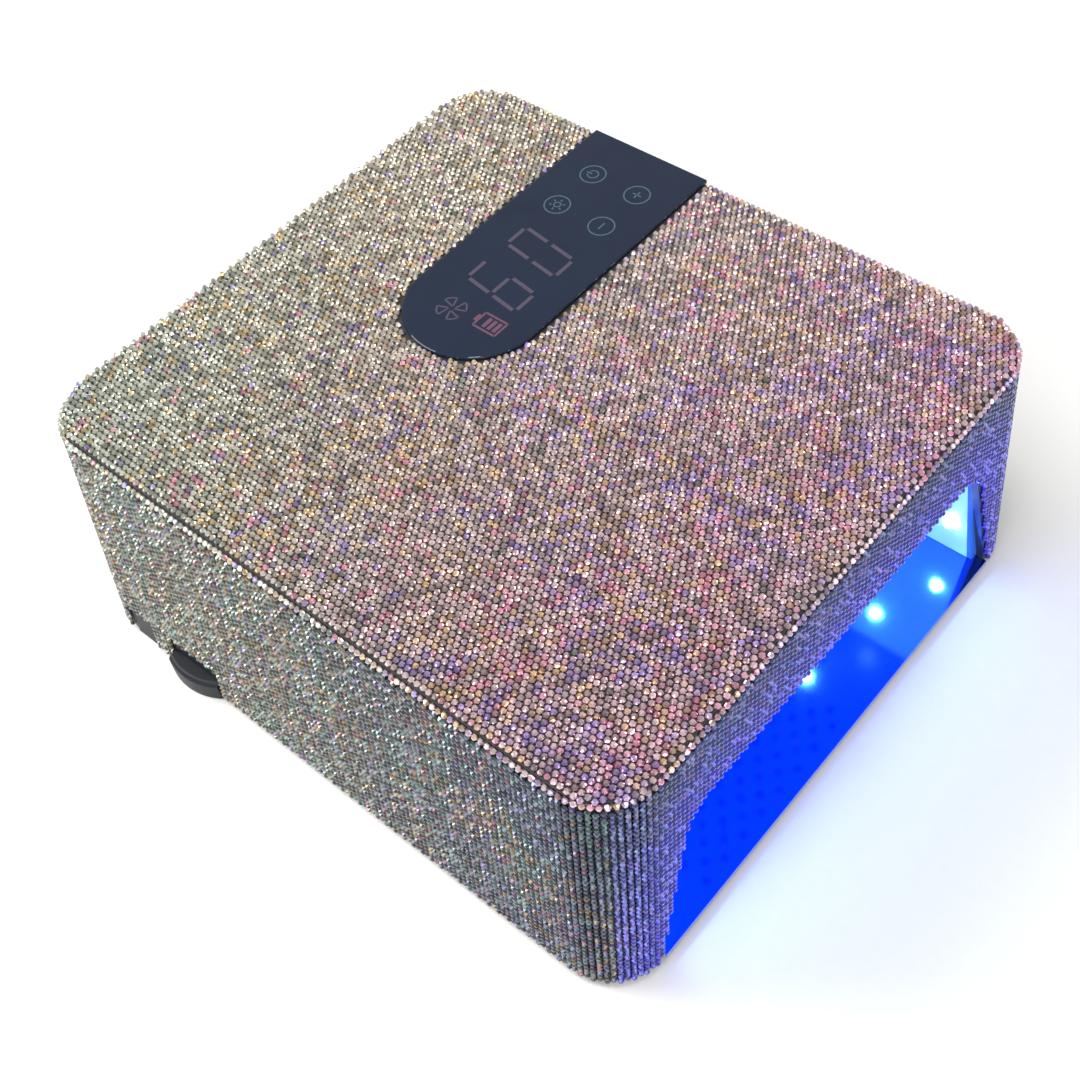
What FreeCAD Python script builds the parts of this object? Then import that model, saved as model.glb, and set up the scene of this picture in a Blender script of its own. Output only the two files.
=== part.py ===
import FreeCAD, Part
import math
import os
import Sketcher

# A cordless UV LED nail lamp: a low, flared case set with stones, a hand cavity open to the front, a touch
# panel on top, and a steel base tray that slides out to the front.
# Millimetres. +Z is up, the cavity opens towards -Y, and the origin is on the table under the case's middle.

DIMENSIONS = [
    ("case_width", 230, "outline at the cover, side to side"),
    ("case_depth", 255, "outline at the cover, front to back"),
    ("case_height", 109, "table to the top of the stones"),
    ("side_flare", 7.75, "how far each side wall leans out from its top to the table"),
    ("front_flare", 4.2, "the same for the front and the rear wall"),
    ("corner_radius", 22, "upright corners of the case"),
    ("foot_height", 2, "rubber feet under the chassis"),
    ("cover_thickness", 4, "cover and its stones together"),
    ("seam_gap", 1, "shadow gap under the cover"),
    ("stone_thickness", 1.6, "stones and the film they sit on"),
    ("glue_gap", 0.1, "stone film to what it covers"),
    ("wall", 3, "moulded side wall"),
    ("lip_thickness", 1.5, "rim of the side wall that carries the cover"),
    ("skirt_depth", 5, "ring of the cover that locates inside the case"),
    ("skirt_thickness", 2, "its wall"),
    ("fit_gap", 0.3, "clearance between pieces that locate in each other"),
    ("slide_gap", 0.1, "clearance of the tray, and of screws in their holes"),
    ("opening_base", 202, "front opening, width at the table"),
    ("opening_top", 163, "front opening, width at its top"),
    ("opening_height", 70.4, "front opening, height above the table"),
    ("opening_corner", 6, "its upper corners"),
    ("liner_base", 194, "white inner shell, clear width at the table"),
    ("liner_top", 168, "white inner shell, clear width at its ceiling"),
    ("liner_ceiling", 72, "underside of its ceiling"),
    ("liner_back", 95, "front face of its back wall"),
    ("liner_thickness", 1.6, "its walls"),
    ("liner_tab", 6, "how far its mounting tabs reach over the chassis"),
    ("trim_thickness", 2, "frame behind the edge of the opening"),
    ("trim_width", 4.5, "the same frame, seen from the front"),
    ("chassis_height", 7, "frame that closes the case below"),
    ("rail_lip", 5, "ledge that carries each side of the tray"),
    ("rail_thickness", 1.2, "that ledge"),
    ("tray_thickness", 1.2, "steel base tray"),
    ("tray_fold", 1.1, "drop of the tray's front fold"),
    ("magnet_length", 20, "tray magnet"),
    ("magnet_depth", 5, "tray magnet, front to back"),
    ("foot_radius", 5.5, "rubber foot"),
    ("foot_from_side", 6, "foot centre in from the case outline at the cover, sideways"),
    ("foot_from_end", 15.5, "the same, front to back"),
    ("grip_length", 50, "black finger grip low in each side wall"),
    ("grip_height", 16, "its top above the table"),
    ("grip_front", 61, "its front end"),
    ("grip_pad_length", 25, "its front pad, front to back"),
    ("grip_rear_length", 13, "its rear pad, beyond a bridge of the wall"),
    ("thumb_radius", 26.5, "arc of the thumb rest on the front pad, seen from above"),
    ("thumb_proud", 4, "how far it stands out of the wall"),
    ("thumb_middle", 15, "its middle behind the front end of the grip"),
    ("thumb_height", 9.5, "its top above the table"),
    ("thumb_edge", 2, "rounding of its upper edge"),
    ("window_width", 53, "glossy touch panel, front to back"),
    ("window_middle", 38.5, "its centre line"),
    ("window_length", 126, "panel from its round end to the case's side"),
    ("key_spacing", 21, "touch keys, both ways"),
    ("key_inset", 21.6, "outer touch keys in from the case's side"),
    ("spring_radius", 4.6, "touch spring"),
    ("spring_wire", 0.8, "its wall"),
    ("display_board_length", 122, "circuit board under the panel"),
    ("display_board_width", 47, "the same, front to back"),
    ("display_drop", 5, "top of that board below the cover plate's top"),
    ("digits_left", 18, "digit module, left side"),
    ("digits_length", 42, "digit module"),
    ("digits_width", 31, "digit module, front to back"),
    ("board_thickness", 1.6, "every circuit board"),
    ("screw_radius", 1.2, "board screw"),
    ("case_screw_radius", 1.5, "case and fan screw"),
    ("post_radius", 4, "screw post of the case"),
    ("post_from_side", 6, "post centre in from the case outline at the cover"),
    ("post_spacing", 150, "posts, front to back"),
    ("fan_size", 60, "square fan frame"),
    ("fan_height", 15, "its height"),
    ("fan_hole_spacing", 50, "its screw holes"),
    ("fan_bore", 28, "radius of the air way"),
    ("fan_back", 75, "fan centre in front of the origin"),
    ("hub_radius", 14, "fan hub"),
    ("blade_tip", 26, "radius of the blade tips"),
    ("shaft_radius", 1.5, "fan shaft"),
    ("vent_length", 97, "perforated plate under the fan, side to side"),
    ("vent_width", 70, "the same, front to back"),
    ("vent_hole", 1.75, "radius of its holes"),
    ("vent_pitch", 12.2, "holes along a row"),
    ("vent_row", 5, "one row to the next"),
    ("lens_radius", 2.5, "LED lens"),
    ("lens_height", 4.4, "LED lens from its board"),
    ("wall_row_low", 25, "height of the lower LED row"),
    ("wall_row_high", 56, "height of the upper LED row"),
    ("main_board_length", 160, "control board"),
    ("main_board_width", 70, "control board, front to back"),
    ("main_board_y", 35, "its centre"),
    ("standoff_height", 10.4, "control board above the liner"),
    ("cell_radius", 9.2, "battery cell"),
    ("cell_length", 65, "battery cell"),
    ("cell_gap", 2.5, "cell to cell, end to end"),
    ("holder_wall", 1.6, "battery holder behind and under the cells"),
    ("socket_radius", 4.75, "barrel of the DC socket"),
    ("socket_bore", 2.75, "its bore"),
    ("socket_pin", 1, "its pin"),
    ("socket_x", 70, "socket centre, sideways"),
    ("socket_z", 66, "socket centre above the table"),
    ("grille_length", 84, "rear air grille"),
    ("grille_height", 18, "rear air grille"),
    ("grille_z", 87, "its centre above the table"),
]

MARGIN = 5          # how far a cutting block runs past what it cuts
BLADES = 7
DOME_SHARE = 0.94   # share of a lens's radius that its round end takes up

document = FreeCAD.newDocument("nail_lamp")
sheet = document.addObject("Spreadsheet::Sheet", "Dims")
pieces = []


class Size:
    """A size worked out from the sheet: its number now, and the expression that keeps it live."""

    def __init__(self, number, text):
        self.number = number
        self.text = text

    def __add__(self, other):
        other = size(other)
        return Size(self.number + other.number, f"({self.text} + {other.text})")

    def __sub__(self, other):
        other = size(other)
        return Size(self.number - other.number, f"({self.text} - {other.text})")

    def __mul__(self, other):
        other = size(other)
        return Size(self.number * other.number, f"({self.text} * {other.text})")

    def __truediv__(self, other):
        other = size(other)
        return Size(self.number / other.number, f"({self.text} / {other.text})")

    def __radd__(self, other):
        return size(other) + self

    def __rsub__(self, other):
        return size(other) - self

    def __rmul__(self, other):
        return size(other) * self

    def __neg__(self):
        return Size(-self.number, f"(0 - {self.text})")


def size(value):
    """A plain number as a Size."""
    if isinstance(value, Size):
        return value
    text = repr(float(value)) if value >= 0 else f"(0 - {abs(float(value))!r})"
    return Size(float(value), text)


def angle(opposite, adjacent):
    """The slope of a wall in degrees."""
    number = math.degrees(math.atan(opposite.number / adjacent.number))
    return Size(number, f"atan({opposite.text} / {adjacent.text}) / 1deg")


class Dimensions:
    """The sheet's aliases as Sizes, such as D.wall."""


D = Dimensions()
for row, (alias, number, note) in enumerate(DIMENSIONS, start=1):
    sheet.set(f"A{row}", alias)
    sheet.set(f"B{row}", str(number))
    sheet.set(f"C{row}", note)
    sheet.setAlias(f"B{row}", alias)
    setattr(D, alias, Size(float(number), f"Dims.{alias}"))
document.recompute()

# Heights and widths that several pieces share.
skirt_top = D.case_height - D.cover_thickness - D.seam_gap
cover_base = skirt_top + D.seam_gap
cover_top = D.case_height - D.stone_thickness
shell_inset = D.stone_thickness + D.glue_gap
inner_inset = shell_inset + D.wall
chassis_inset = inner_inset + D.slide_gap * 2
trim_front = inner_inset + D.slide_gap
trim_back = trim_front + D.trim_thickness
chassis_top = D.foot_height + D.chassis_height
tray_base = D.foot_height + D.rail_thickness + D.slide_gap
tray_top = tray_base + D.tray_thickness
liner_base_z = tray_top + D.fit_gap
liner_outer_back = D.liner_back + D.liner_thickness
liner_roof = D.liner_ceiling + D.liner_thickness
fan_top = liner_roof + D.fan_height
main_board_z = liner_roof + D.standoff_height
main_board_top = main_board_z + D.board_thickness


# ---------------------------------------------------------------- building blocks

def place(item, x=0, y=0, z=0, yaw=0, pitch=0, roll=0):
    """Bind an object's Placement: a position, and turns about Z, Y and X."""
    x, y, z, yaw, pitch, roll = [size(value).text for value in (x, y, z, yaw, pitch, roll)]
    item.setExpression("Placement", f"placement(vector({x}; {y}; {z}); rotation({yaw}; {pitch}; {roll}))")
    return item


def bind(item, **values):
    """Bind properties of an object to sizes."""
    for name, value in values.items():
        item.setExpression(name, size(value).text)
    return item


def box(name, x, y, z):
    """A box from three (low, high) pairs."""
    item = document.addObject("Part::Box", name)
    bind(item, Length=x[1] - x[0], Width=y[1] - y[0], Height=z[1] - z[0])
    return place(item, x[0], y[0], z[0])


def around(middle, length):
    """The (low, high) pair of a length about its middle."""
    return (middle - length / 2, middle + length / 2)


def cylinder(name, radius, length, x, y, z, pitch=0, roll=0):
    """A cylinder along +Z, or turned."""
    item = document.addObject("Part::Cylinder", name)
    bind(item, Radius=radius, Height=length)
    return place(item, x, y, z, pitch=pitch, roll=roll)


def fuse(name, shapes):
    item = document.addObject("Part::MultiFuse", name)
    item.Shapes = shapes
    return item


def group(name, shapes):
    """Separate solids that make one sub-part."""
    item = document.addObject("Part::Compound", name)
    item.Links = shapes
    return item


def cut(name, base, tools):
    item = document.addObject("Part::Cut", name)
    item.Base = base
    item.Tool = tools[0] if len(tools) == 1 else fuse(name + "_tools", tools)
    return item


def common(name, first, second):
    item = document.addObject("Part::MultiCommon", name)
    item.Shapes = [first, second]
    return item


def finish(item, label):
    """Name a sub-part."""
    item.Label = label
    pieces.append(item)
    return item


def origin_item(body, role):
    """One of a body's own origin planes or axes."""
    return [item for item in body.Origin.OriginFeatures if item.Role == role][0]


def new_body(name):
    body = document.addObject("PartDesign::Body", name)
    body.AllowCompound = True
    return body


def new_sketch(body, name, role="XY_Plane", offset=0):
    sketch = body.newObject("Sketcher::SketchObject", name)
    sketch.AttachmentSupport = (origin_item(body, role), [""])
    sketch.MapMode = "FlatFace"
    sketch.setExpression("AttachmentOffset.Base.z", size(offset).text)
    return sketch


def pin_down(sketch, geometry, point, x, y):
    """Hold a point of a sketch at x, y."""
    for kind, value in (("DistanceX", size(x)), ("DistanceY", size(y))):
        index = sketch.addConstraint(Sketcher.Constraint(kind, -1, 1, geometry, point, value.number))
        sketch.setExpression(f"Constraints[{index}]", value.text)


def draw_polygon(sketch, points):
    """A closed outline of straight lines."""
    corners = [FreeCAD.Vector(size(x).number, size(y).number, 0) for x, y in points]
    lines = []
    for index, corner in enumerate(corners):
        line = Part.LineSegment(corner, corners[(index + 1) % len(corners)])
        lines.append(sketch.addGeometry(line, False))
    for index, line in enumerate(lines):
        following = lines[(index + 1) % len(lines)]
        sketch.addConstraint(Sketcher.Constraint("Coincident", line, 2, following, 1))
        pin_down(sketch, line, 1, *points[index])


def draw_rectangle(sketch, x, y):
    """A rectangle from two (low, high) pairs."""
    draw_polygon(sketch, [(x[0], y[0]), (x[1], y[0]), (x[1], y[1]), (x[0], y[1])])


def draw_circle(sketch, x, y, radius):
    centre = FreeCAD.Vector(size(x).number, size(y).number, 0)
    radius = size(radius)
    circle = sketch.addGeometry(Part.Circle(centre, FreeCAD.Vector(0, 0, 1), radius.number), False)
    pin_down(sketch, circle, 3, x, y)
    index = sketch.addConstraint(Sketcher.Constraint("Radius", circle, radius.number))
    sketch.setExpression(f"Constraints[{index}]", radius.text)


def pad(body, sketch, length):
    item = body.newObject("PartDesign::Pad", sketch.Name + "_pad")
    item.Profile = sketch
    return bind(item, Length=length)


def round_edges(body, radius, chosen):
    """Fillet the edges of a body's last feature that chosen() picks."""
    document.recompute()
    last = body.Tip
    names = [f"Edge{i}" for i, edge in enumerate(last.Shape.Edges, start=1) if chosen(edge)]
    item = body.newObject("PartDesign::Fillet", body.Name + "_fillet")
    item.Base = (last, names)
    return bind(item, Radius=radius)


def is_upright(edge):
    """True for an edge that climbs."""
    return abs(edge.Vertexes[0].Z - edge.Vertexes[-1].Z) > 0.5


def slab(name, x, y, z, radius=None):
    """A flat plate from three (low, high) pairs, with round corners if a radius is given."""
    body = new_body(name)
    sketch = new_sketch(body, name + "_outline", offset=z[0])
    draw_rectangle(sketch, x, y)
    pad(body, sketch, z[1] - z[0])
    if radius is not None:
        round_edges(body, radius, is_upright)
    return body


def wedge(name, base, top, z, radius=None):
    """A block with sloping sides: base and top are ((x low, x high), (y low, y high))."""
    body = new_body(name)
    item = body.newObject("PartDesign::AdditiveWedge", name + "_wedge")
    item.AttachmentSupport = (origin_item(body, "XZ_Plane"), [""])
    item.MapMode = "FlatFace"
    bind(item, Xmin=base[0][0], Xmax=base[0][1], Zmin=-base[1][1], Zmax=-base[1][0], Ymin=z[0])
    bind(item, X2min=top[0][0], X2max=top[0][1], Z2min=-top[1][1], Z2max=-top[1][0], Ymax=z[1])
    if radius is not None:
        round_edges(body, radius, is_upright)
    return body


def case_half(z, inset=0):
    """Half of the case's width and depth at height z, less an inset from the stones' outer face."""
    drop = (skirt_top - z) / skirt_top
    return (D.case_width / 2 + D.side_flare * drop - inset, D.case_depth / 2 + D.front_flare * drop - inset)


def case_rectangle(z, inset):
    half_width, half_depth = case_half(z, inset)
    return ((-half_width, half_width), (-half_depth, half_depth))


def case_block(name, inset, z):
    """The case's flared outline between two heights, with its upright corners round."""
    base = case_rectangle(z[0], inset)
    top = case_rectangle(z[1], inset)
    return wedge(name, base, top, z, D.corner_radius - inset)


def cover_slab(name, inset, z):
    """The cover's straight outline between two heights."""
    half_width = D.case_width / 2 - inset
    half_depth = D.case_depth / 2 - inset
    return slab(name, (-half_width, half_width), (-half_depth, half_depth), z, D.corner_radius - inset)


def liner_half(z):
    """Half of the liner's clear width at height z."""
    return D.liner_base / 2 - (D.liner_base - D.liner_top) / 2 * z / D.liner_ceiling


def cavity_block(name, outward, front_inset, back, z):
    """The hand cavity's outline, moved outward, from a plane behind the front wall to a back face."""
    outlines = []
    for height in z:
        half_width = liner_half(height) + outward
        front = -case_half(height, front_inset)[1]
        outlines.append(((-half_width, half_width), (front, back)))
    return wedge(name, outlines[0], outlines[1], z)


def screws(name, spots, tip_z, seat_z, radius, head_height, head_below=False):
    """Pan head screws at spots, from tip to the face that the head sits on."""
    shapes = []
    low, high = (seat_z, tip_z) if head_below else (tip_z, seat_z)
    head_z = seat_z - head_height if head_below else seat_z
    for number, (x, y) in enumerate(spots):
        shank = cylinder(f"{name}_shank_{number}", radius, high - low, x, y, low)
        head = cylinder(f"{name}_head_{number}", radius * 2, size(head_height), x, y, head_z)
        shapes.append(fuse(f"{name}_screw_{number}", [shank, head]))
    return finish(group(name, shapes), name)


def mirrored(x_values, y_values):
    """Every pair of the x and y values."""
    return [(x, y) for x in x_values for y in y_values]


# ---------------------------------------------------------------- LEDs

wall_slope = angle((D.liner_base - D.liner_top) / 2, D.liner_ceiling)
lean = ((D.liner_base - D.liner_top) / 2 / D.liner_ceiling).number
stretch = math.sqrt(1 + lean * lean)    # length along a side wall for each millimetre of height
liner_outer = D.liner_base / 2 + D.liner_thickness

# Each face of the liner that carries LEDs: where its outer side lies. The lenses point along local +Z.
LED_FACES = {
    "right": {"x": liner_outer, "pitch": -90 - wall_slope},
    "left": {"x": -liner_outer, "yaw": 180, "pitch": -90 - wall_slope},
    "rear": {"y": liner_outer_back, "roll": 90},
    "ceiling": {"z": liner_roof, "roll": 180},
}

wall_front_leds = [-117, -75, -33, 9, 51]
wall_back_leds = [-96, -54, -12, 30, 72]


def wall_spots(direction):
    """LED places on a side wall: along the slope, and along the lamp."""
    low = [(D.wall_row_low * stretch, direction * y) for y in wall_front_leds]
    high = [(D.wall_row_high * stretch, direction * y) for y in wall_back_leds]
    return low + high


LED_SPOTS = {
    "right": wall_spots(1),
    "left": wall_spots(-1),
    "rear": [(x, z) for x in (-60, -20, 20, 60) for z in (26, 50)],
    "ceiling": mirrored((-53, 53), (86, 51, 16, -19, -54)) + mirrored((-18, 18), (16, -19, -54)),
}

sensor_spots = [(-6, -36), (6, -36)]


def circles_body(name, spots, radius, length, hole=None, dome=False):
    """Separate round posts or tubes at spots, with round ends if they are domes."""
    body = new_body(name)
    sketch = new_sketch(body, name + "_circles")
    for x, y in spots:
        draw_circle(sketch, x, y, radius)
        if hole is not None:
            draw_circle(sketch, x, y, hole)
    pad(body, sketch, length)
    if dome:
        end = size(length).number - 0.1
        round_edges(body, radius * DOME_SHARE, lambda edge: min(v.Z for v in edge.Vertexes) > end)
    return body


led_holes = []
for side, face in LED_FACES.items():
    lenses = circles_body(f"{side}_leds", LED_SPOTS[side], D.lens_radius, D.lens_height, dome=True)
    finish(place(lenses, **face), f"{side}_leds")
    spots = LED_SPOTS[side] + (sensor_spots if side == "ceiling" else [])
    holes = circles_body(f"{side}_led_holes", spots, D.lens_radius + D.fit_gap, D.liner_thickness * 3)
    holder = group(f"{side}_hole_group", [holes])
    led_holes.append(place(holder, **face))

sensors = circles_body("hand_sensors", sensor_spots, D.lens_radius, D.lens_height - 1, dome=True)
finish(place(sensors, **LED_FACES["ceiling"]), "hand_sensors")


def led_board(side, outline):
    """A circuit board that lies on the outside of the liner, drawn in its face's own frame."""
    body = new_body(f"{side}_led_board")
    sketch = new_sketch(body, f"{side}_board_outline", offset=-D.board_thickness)
    draw_polygon(sketch, outline)
    pad(body, sketch, D.board_thickness)
    finish(place(body, **LED_FACES[side]), f"{side}_led_board")


for side, direction in (("right", 1), ("left", -1)):
    low = (D.wall_row_low - 9) * stretch
    high = (D.wall_row_high + 8) * stretch
    front = direction * (trim_back + D.fit_gap - case_half(skirt_top)[1])
    ends = sorted((front, size(direction * 80)), key=lambda end: end.number)
    led_board(side, [(low, ends[0]), (high, ends[0]), (high, ends[1]), (low, ends[1])])
led_board("rear", [(-70, 18), (70, 18), (70, 58), (-70, 58)])
notch = D.vent_length / 2 + 1.2
vent_middle = -D.fan_back - D.vent_row
vent_rear = vent_middle + D.vent_width / 2 + 2
led_board("ceiling", [(-66, -62), (66, -62), (66, 98), (notch, 98), (notch, -vent_rear),
                      (-notch, -vent_rear), (-notch, 98), (-66, 98)])


# ---------------------------------------------------------------- case

front_opening = wedge(
    "front_opening",
    ((-D.opening_base / 2, D.opening_base / 2), (-case_half(0)[1] - MARGIN, -case_half(0)[1] + 3 * MARGIN)),
    ((-D.opening_top / 2, D.opening_top / 2), (-case_half(0)[1] - MARGIN, -case_half(0)[1] + 3 * MARGIN)),
    (size(0), D.opening_height))
opening_top_z = D.opening_height.number - 0.1
round_edges(front_opening, D.opening_corner, lambda edge: min(v.Z for v in edge.Vertexes) > opening_top_z
            and abs(edge.Vertexes[0].X - edge.Vertexes[-1].X) < 0.1)

grip_back = D.grip_front + D.grip_length
grip_spans = [(D.grip_front, D.grip_front + D.grip_pad_length), (grip_back - D.grip_rear_length, grip_back)]
grip_notches = []
for side, direction in (("right", 1), ("left", -1)):
    middle = direction * (D.case_width / 2 + D.side_flare / 2)
    for number, span in enumerate(grip_spans):
        grip_notches.append(box(f"{side}_notch_{number}", around(middle, size(30)), span, (size(0), D.grip_height)))

grille_y = D.case_depth / 2
grille_window = box("grille_window", around(size(0), D.grille_length),
                    (grille_y - 4 * MARGIN, grille_y + 2 * MARGIN), around(D.grille_z, D.grille_height))
socket_y = case_half(D.socket_z)[1]
socket_hole = cylinder("socket_hole", D.socket_radius + D.slide_gap, size(25), D.socket_x, grille_y + 10,
                       D.socket_z, roll=90)
case_cuts = [front_opening, grille_window, socket_hole] + grip_notches

post_x = D.case_width / 2 - D.post_from_side
post_spots = mirrored((-post_x, post_x), (-D.post_spacing / 2, D.post_spacing / 2))


def side_shell():
    """The moulded case wall, with its rim and four screw posts."""
    z = (D.foot_height, skirt_top)
    outer = case_block("shell_outer", shell_inset, z)
    inner = case_block("shell_inner", inner_inset, (z[0] - MARGIN, z[1] + MARGIN))
    walls = cut("shell_walls", outer, [inner])
    lip_inset = shell_inset + D.lip_thickness
    rim_z = (skirt_top - 2, cover_base)
    rim = cut("shell_rim", cover_slab("rim_outer", lip_inset, rim_z),
              [cover_slab("rim_inner", inner_inset, (rim_z[0] - MARGIN, rim_z[1] + MARGIN))])
    posts = []
    post_z = (chassis_top, cover_base - D.skirt_depth - 1)
    for number, (x, y) in enumerate(post_spots):
        outward = 12 if x.number > 0 else -12
        ends = sorted((x, x + outward), key=lambda end: end.number)
        posts.append(cylinder(f"post_{number}", D.post_radius, post_z[1] - post_z[0], x, y, post_z[0]))
        posts.append(box(f"post_web_{number}", ends, around(y, D.wall), post_z))
    posts = common("posts_in_case", fuse("posts", posts), outer)
    holes = [cylinder(f"post_hole_{number}", D.case_screw_radius + D.slide_gap / 2, size(18), x, y, post_z[0] - 1)
             for number, (x, y) in enumerate(post_spots)]
    solid = fuse("shell_solid", [walls, rim, posts])
    finish(cut("side_shell", solid, case_cuts + holes), "side_shell")


def stone_skins():
    """The stones and their film: one skin round the wall, and one over the cover and down its edge."""
    z = (D.foot_height, skirt_top)
    outer = case_block("stones_outer", size(0), z)
    inner = case_block("stones_inner", D.stone_thickness, (z[0] - MARGIN, z[1] + MARGIN))
    finish(cut("side_stone_sheet", outer, [inner] + case_cuts), "side_stone_sheet")
    cap = cover_slab("top_stones", size(0), (cover_base, D.case_height))
    hollow = cover_slab("top_stones_hollow", D.stone_thickness, (cover_base - MARGIN, cover_top))
    slot = panel_slab("panel_slot", D.slide_gap * 1.5, (cover_top, D.case_height + MARGIN))
    finish(cut("top_stone_sheet", cap, [hollow, slot]), "top_stone_sheet")


def panel_slab(name, growth, z):
    """The touch panel's outline, with one round end, and the other running out at the case's side."""
    right = D.case_width / 2 + (0 if growth.number == 0 else MARGIN)
    left = D.case_width / 2 - D.window_length - growth
    half = D.window_width / 2 + growth
    body = new_body(name)
    sketch = new_sketch(body, name + "_outline", offset=z[0])
    draw_rectangle(sketch, (left, right), (D.window_middle - half, D.window_middle + half))
    pad(body, sketch, z[1] - z[0])
    left_end = left.number + 0.1
    round_edges(body, half - D.slide_gap, lambda edge: is_upright(edge) and edge.Vertexes[0].X < left_end)
    return body


key_x = D.case_width / 2 - D.key_inset
key_spots = mirrored((key_x - D.key_spacing, key_x),
                     (D.window_middle - D.key_spacing / 2, D.window_middle + D.key_spacing / 2))
display_right = D.case_width / 2 - inner_inset - D.skirt_thickness - 4
display_span = (display_right - D.display_board_length, display_right)
display_depth = around(D.window_middle, D.display_board_width)
display_top = cover_top - D.display_drop
display_base = display_top - D.board_thickness
display_screw_spots = mirrored((display_span[0] + 4, display_span[1] - 4),
                               (display_depth[0] + 4, display_depth[1] - 4))
digits_span = (D.digits_left, D.digits_left + D.digits_length)


def top_cover():
    """The cover plate, with a locating skirt, and screw bosses for the display board."""
    plate = cover_slab("cover_plate", shell_inset, (cover_base, cover_top))
    skirt_z = (cover_base - D.skirt_depth, cover_base + 1)
    skirt = cut("cover_skirt", cover_slab("skirt_outer", inner_inset + D.fit_gap, skirt_z),
                [cover_slab("skirt_inner", inner_inset + D.fit_gap + D.skirt_thickness,
                            (skirt_z[0] - MARGIN, skirt_z[1] + MARGIN))])
    bosses = [cylinder(f"cover_boss_{number}", size(3), cover_base + 1 - display_top, x, y, display_top)
              for number, (x, y) in enumerate(display_screw_spots)]
    window = box("digit_window", (digits_span[0] - 16, digits_span[1] + D.fit_gap),
                 around(D.window_middle, D.digits_width + D.fit_gap * 2), (cover_base - 1, cover_top + 1))
    holes = [cylinder(f"key_hole_{number}", D.spring_radius + D.fit_gap, size(10), x, y, cover_base - 1)
             for number, (x, y) in enumerate(key_spots)]
    holes += [cylinder(f"boss_hole_{number}", D.screw_radius + D.slide_gap / 2, size(4.5), x, y, display_top - 1)
              for number, (x, y) in enumerate(display_screw_spots)]
    solid = fuse("cover_solid", [plate, skirt] + bosses)
    finish(cut("top_cover", solid, [window] + holes), "top_cover")
    finish(panel_slab("display_window", size(0), (cover_top, D.case_height)), "display_window")


def front_trim():
    """The dark frame behind the edge of the opening."""
    z = (liner_base_z, D.liner_ceiling + D.trim_width)
    outlines = []
    for height in z:
        half_width = liner_half(height) + D.trim_width
        half_depth = case_half(height)[1]
        outlines.append(((-half_width, half_width), (trim_front - half_depth, trim_back - half_depth)))
    outer = wedge("trim_outer", outlines[0], outlines[1], z)
    inner = cavity_block("trim_inner", size(0), size(0), D.liner_back, (size(0), D.liner_ceiling))
    finish(cut("opening_trim", outer, [inner]), "opening_trim")


def finger_grips():
    """Black grips that fill the notches low in the side walls, each with a thumb rest that stands out."""
    base = D.foot_height - 1.5
    z = (base, D.grip_height - D.slide_gap * 2)
    gap = D.slide_gap * 2
    for side, direction in (("right", 1), ("left", -1)):
        middle = direction * (D.case_width / 2 + D.side_flare / 2)
        outer = case_block(f"{side}_grip_outer", shell_inset, z)
        inner = case_block(f"{side}_grip_inner", chassis_inset, (z[0] - MARGIN, z[1] + MARGIN))
        ring = cut(f"{side}_grip_ring", outer, [inner])
        blocks = [box(f"{side}_grip_block_{number}", around(middle, size(30)), (span[0] + gap, span[1] - gap), z)
                  for number, span in enumerate(grip_spans)]
        pads = [common(f"{side}_grip_pad_{number}", ring, block) for number, block in enumerate(blocks)]

        rest = new_body(f"{side}_thumb_rest")
        sketch = new_sketch(rest, f"{side}_thumb_outline", offset=base)
        thumb_x = direction * (case_half(0)[0] + D.thumb_proud - D.thumb_radius)
        draw_circle(sketch, thumb_x, D.grip_front + D.thumb_middle, D.thumb_radius)
        pad(rest, sketch, D.thumb_height - base)
        top = D.thumb_height.number - 0.1
        round_edges(rest, D.thumb_edge, lambda edge: edge.BoundBox.ZMin > top)
        outside = cut(f"{side}_thumb_outside", rest, [inner])
        thumb = common(f"{side}_thumb", outside, blocks[0])
        finish(fuse(f"{side}_finger_grip", pads + [thumb]), f"{side}_finger_grip")


def rear_fittings():
    """The air grille and the DC socket in the rear wall."""
    face = grille_y + D.slide_gap
    inner_face = D.case_depth / 2 - inner_inset - D.fit_gap * 2
    body = box("grille_body", around(size(0), D.grille_length - D.fit_gap), (inner_face - 1.5, face),
               around(D.grille_z, D.grille_height - D.fit_gap))
    flange = box("grille_flange", around(size(0), D.grille_length + 6), (inner_face - 1.5, inner_face),
                 around(D.grille_z, D.grille_height - D.fit_gap))
    slots = []
    count = 14
    pitch = (D.grille_length - 6) / count
    for number in range(count):
        middle = (number - (count - 1) / 2) * pitch
        slots.append(box(f"grille_slot_{number}", around(middle, pitch * 0.5), (inner_face - MARGIN, face + 1),
                         around(D.grille_z, D.grille_height - 5)))
    finish(cut("rear_vent_grille", fuse("grille_solid", [body, flange]), slots), "rear_vent_grille")

    depth = 17
    barrel = cylinder("socket_barrel", D.socket_radius, size(depth), D.socket_x, socket_y, D.socket_z, roll=90)
    wall_face = case_half(D.socket_z, inner_inset)[1]
    flange = cylinder("socket_flange", D.socket_radius + 2.5, size(2), D.socket_x, wall_face - D.fit_gap,
                      D.socket_z, roll=90)
    bore = cylinder("socket_bore", D.socket_bore, size(11), D.socket_x, socket_y + 1, D.socket_z, roll=90)
    pin = cylinder("socket_pin", D.socket_pin, size(11), D.socket_x, socket_y - 1, D.socket_z, roll=90)
    tube = cut("socket_tube", fuse("socket_solid", [barrel, flange]), [bore])
    finish(fuse("dc_socket", [tube, pin]), "dc_socket")


# ---------------------------------------------------------------- chassis and tray

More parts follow.
